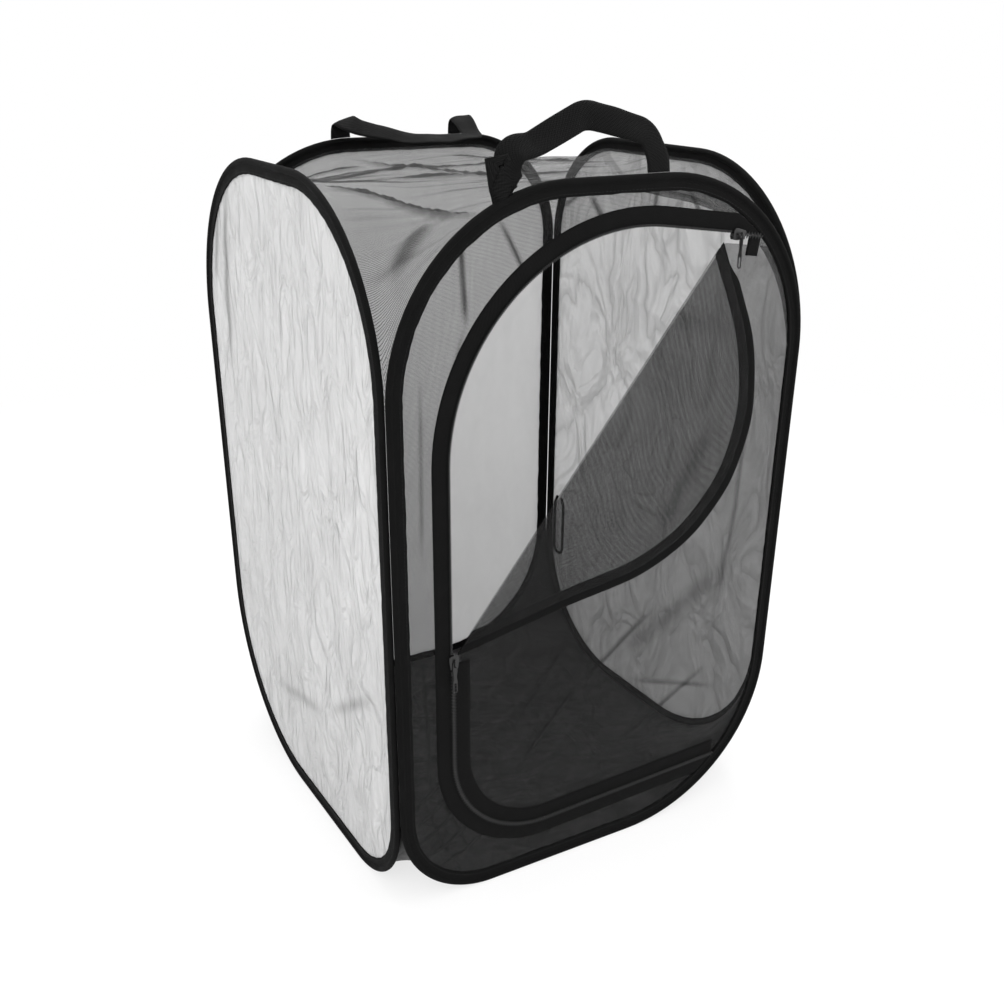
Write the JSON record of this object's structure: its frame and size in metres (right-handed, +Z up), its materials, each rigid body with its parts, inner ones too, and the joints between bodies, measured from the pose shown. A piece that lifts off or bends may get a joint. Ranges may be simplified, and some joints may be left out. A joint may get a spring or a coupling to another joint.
{
  "type": "insect cage",
  "caption": "Pop-up insect cage with spring wire hoops in fabric binding, net front and roof, white cloth walls, a zipped door and carrying handles.",
  "frame": {"origin": "on the ground under the middle of the cage, on the underside of the floor cloth", "axes": "+Z up, the longest way; +Y from the door side to the back; +X to the right seen from the door side"},
  "size_m": [0.3998, 0.4211, 0.6535],
  "materials": {
    "wire": "plain spring steel",
    "ferrule": "crimped sleeve",
    "tape": "black woven tape",
    "net": "black fine mesh",
    "white_cloth": "thin white cloth",
    "floor_cloth": "dark coated cloth",
    "coil": "black zip coil",
    "slider": "black enamel",
    "webbing": "black webbing and elastic"
  },
  "bodies": {
    "front_frame": {"front_hoop_wire": "wire", "front_hoop_ferrule": "ferrule", "front_binding": "tape", "front_net": "net", "door_net": "net", "zip_frame_tape": "tape", "zip_door_tape_top": "tape", "zip_door_tape_low": "tape", "zip_coil_top": "coil", "zip_coil_low": "coil", "zip_coil_frame": "coil"},
    "left_wall": {"left_hoop_wire": "wire", "left_hoop_ferrule": "ferrule", "left_binding": "tape", "left_wall_cloth": "white_cloth"},
    "right_wall": {"right_hoop_wire": "wire", "right_hoop_ferrule": "ferrule", "right_binding": "tape", "right_wall_cloth": "white_cloth", "tie_loop": "webbing"},
    "back_wall": {"back_hoop_wire": "wire", "back_hoop_ferrule": "ferrule", "back_binding": "tape", "back_wall_cloth": "white_cloth"},
    "roof": {"roof_net": "net"},
    "floor": {"floor_cloth": "floor_cloth"},
    "door_flap": {"door_flap_net": "net", "zip_flap_tape": "tape", "zip_coil_flap": "coil"},
    "upper_slider": {"upper_slider": "slider"},
    "upper_pull": {"upper_slider_pull": "slider"},
    "lower_slider": {"lower_slider": "slider"},
    "lower_pull": {"lower_slider_pull": "slider"},
    "front_handle": {"front_handle": "webbing"},
    "back_handle": {"back_handle": "webbing"}
  },
  "joints": [
    {"name": "left_wall_fold", "type": "hinge", "parent": "front_frame", "child": "left_wall", "pos_m": [-0.19595, -0.19595, 0], "axis": [0, 0, 1], "range_deg": [0, 80], "deforming": ["roof_net", "floor_cloth"]},
    {"name": "right_wall_fold", "type": "hinge", "parent": "front_frame", "child": "right_wall", "pos_m": [0.19441, -0.19441, 0], "axis": [0, 0, 1], "range_deg": [0, 80]},
    {"name": "back_wall_fold", "type": "hinge", "parent": "left_wall", "child": "back_wall", "pos_m": [-0.19441, 0.19441, 0], "axis": [0, 0, 1], "range_deg": [-80, 0]},
    {"name": "roof_fold", "type": "hinge", "parent": "front_frame", "child": "roof", "pos_m": [-0.19595, -0.19595, 0], "axis": [0, 0, 1], "range_deg": [0, 40]},
    {"name": "floor_fold", "type": "hinge", "parent": "front_frame", "child": "floor", "pos_m": [-0.19595, -0.19595, 0], "axis": [0, 0, 1], "range_deg": [0, 40]},
    {"name": "door_flap_hinge", "type": "hinge", "parent": "front_frame", "child": "door_flap", "pos_m": [-0.0155, -0.19775, 0.39775], "axis": [0.6224, 0, 0.7827], "range_deg": [-170, 5]},
    {"name": "upper_slider_slide", "type": "slide", "parent": "front_frame", "child": "upper_slider", "axis": [-0.9913, 0, 0.1316], "range_m": [0, 0.06]},
    {"name": "upper_pull_hinge", "type": "hinge", "parent": "upper_slider", "child": "upper_pull", "pos_m": [0.11646, -0.2036, 0.5503], "axis": [1, 0, 0], "range_deg": [-120, 0]},
    {"name": "lower_slider_slide", "type": "slide", "parent": "front_frame", "child": "lower_slider", "axis": [0, 0, 1], "range_m": [0, 0.08]},
    {"name": "lower_pull_hinge", "type": "hinge", "parent": "lower_slider", "child": "lower_pull", "pos_m": [-0.14496, -0.20215, 0.23697], "axis": [1, 0, 0], "range_deg": [-120, 0]},
    {"name": "front_handle_hinge", "type": "hinge", "parent": "front_frame", "child": "front_handle", "pos_m": [-0.032, -0.1973, 0.5973], "axis": [1, 0, 0], "range_deg": [-40, 150]},
    {"name": "back_handle_hinge", "type": "hinge", "parent": "back_wall", "child": "back_handle", "pos_m": [0.012, 0.1973, 0.5973], "axis": [1, 0, 0], "range_deg": [-105, 0]}
  ],
  "couplings": [
    {"joint": "right_wall_fold", "follows": "left_wall_fold", "ratio": 1},
    {"joint": "back_wall_fold", "follows": "left_wall_fold", "ratio": -1},
    {"joint": "roof_fold", "follows": "left_wall_fold", "ratio": 0.5},
    {"joint": "floor_fold", "follows": "left_wall_fold", "ratio": 0.5}
  ]
}
